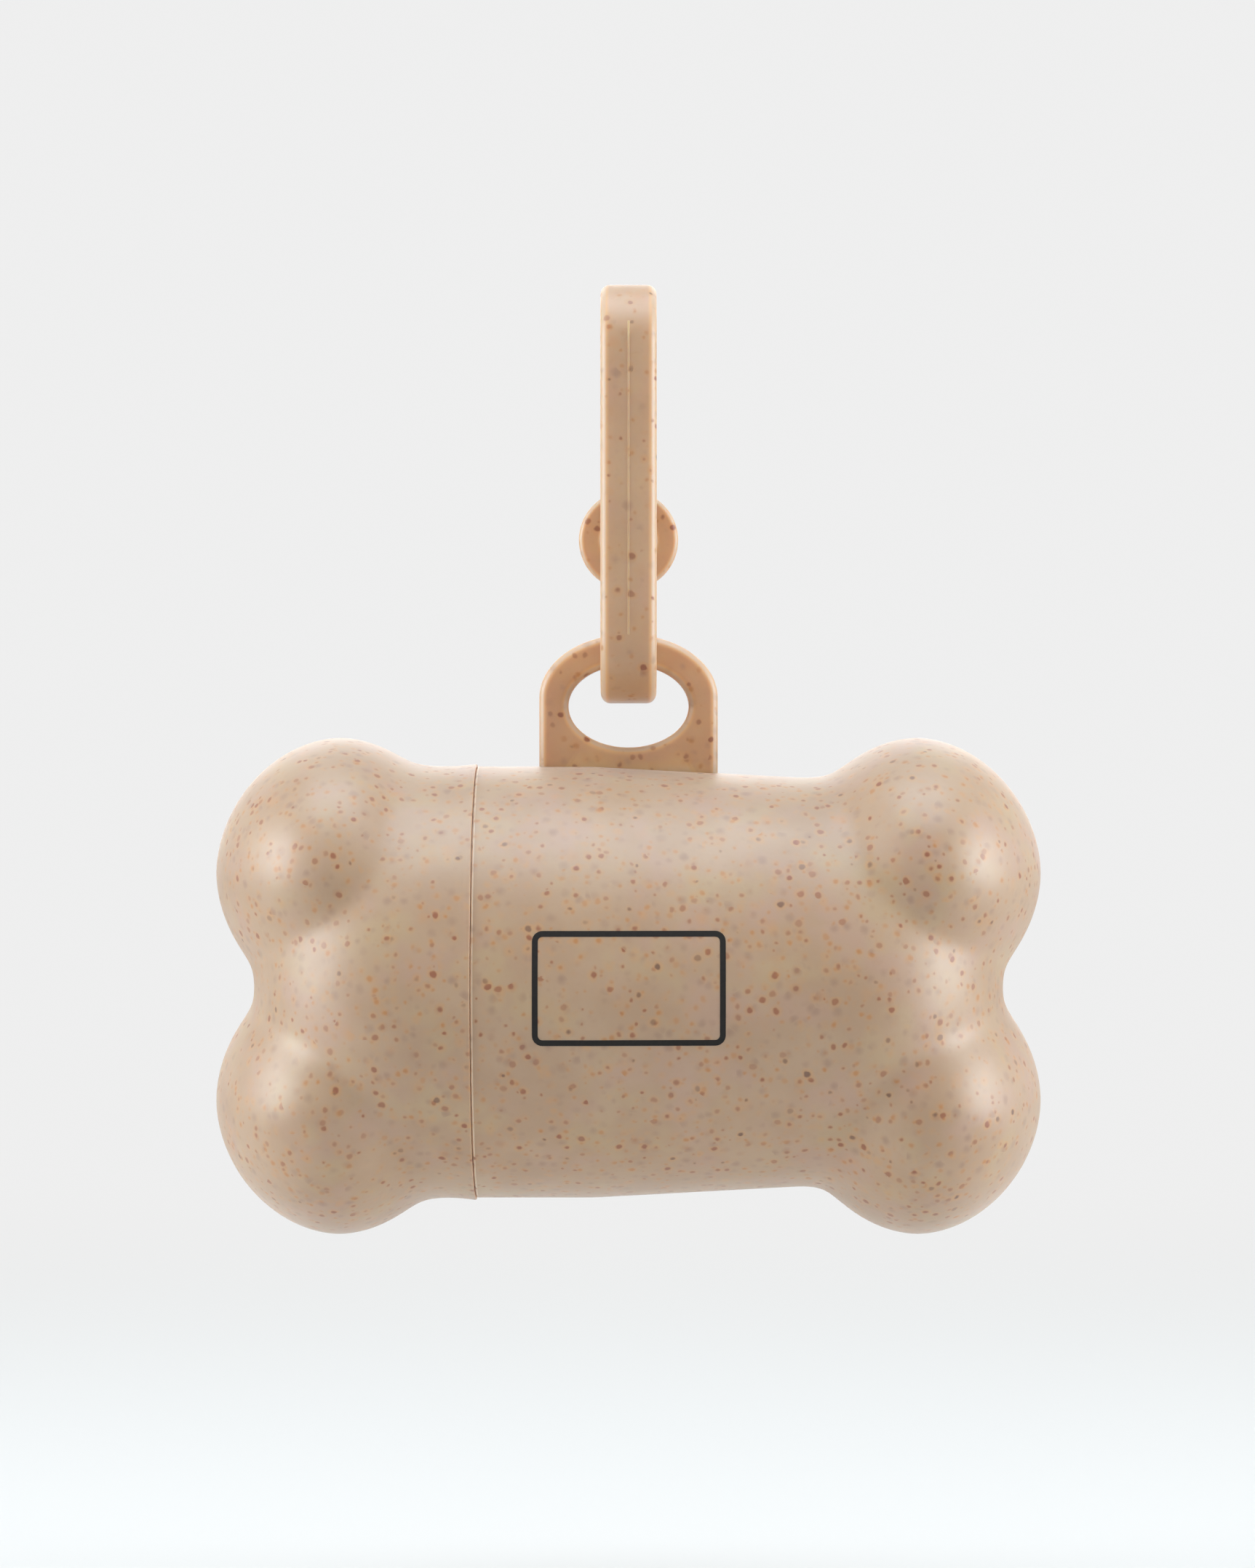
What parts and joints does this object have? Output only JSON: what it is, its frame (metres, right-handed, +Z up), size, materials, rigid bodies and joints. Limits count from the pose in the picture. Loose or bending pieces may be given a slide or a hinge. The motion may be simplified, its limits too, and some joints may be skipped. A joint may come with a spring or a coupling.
{
  "type": "pet waste bag dispenser",
  "caption": "Bone-shaped waste bag dispenser with a pull-off end cap and a bag slot, hanging from a plastic snap clip.",
  "frame": {"origin": "crown of the clip's hook on its inner face, where a lead or belt loop carries it", "axes": "+X along the bone towards its closed end, -Y towards the printed front, +Z up as it hangs"},
  "size_m": [0.0798, 0.0466, 0.0917],
  "materials": {
    "shell": "satin moulded straw-filled plastic with fine brown specks",
    "clip": "satin moulded straw-filled plastic, a little warmer than the shell",
    "cardboard": "spiral-wound grey-brown cardboard",
    "bag_film": "thin wrinkled bag film, wound in layers",
    "ink": "thin matt black printed border"
  },
  "bodies": {
    "clip": {"clip_frame": "clip"},
    "gate": {"clip_gate": "clip"},
    "housing": {"body_shell": "shell"},
    "cap": {"end_cap": "shell"},
    "roll": {"roll_core": "cardboard", "bag_roll": "bag_film"},
    "tail": {"bag_tail": "bag_film"}
  },
  "joints": [
    {"name": "gate_press", "type": "hinge", "parent": "clip", "child": "gate", "pos_m": [0, 0.00765, -0.0264], "axis": [1, 0, 0], "range_deg": [0, 25], "stiffness_Nm_per_rad": 0.05},
    {"name": "bone_swing", "type": "hinge", "parent": "clip", "child": "housing", "pos_m": [0, 0, -0.03217], "axis": [1, 0, 0], "range_deg": [-45, 45]},
    {"name": "cap_pull", "type": "slide", "parent": "housing", "child": "cap", "axis": [-1, 0, 0], "range_m": [0, 0.06]},
    {"name": "roll_turn", "type": "hinge", "parent": "housing", "child": "roll", "pos_m": [0, 0, -0.0673], "axis": [-1, 0, 0], "range_deg": [0, 40]},
    {"name": "bag_pull", "type": "slide", "parent": "housing", "child": "tail", "axis": [0, 0.7229, -0.6909], "range_m": [0, 0.011]}
  ],
  "couplings": [
    {"joint": "bag_pull", "follows": "roll_turn", "m_per_rad": 0.0153}
  ]
}
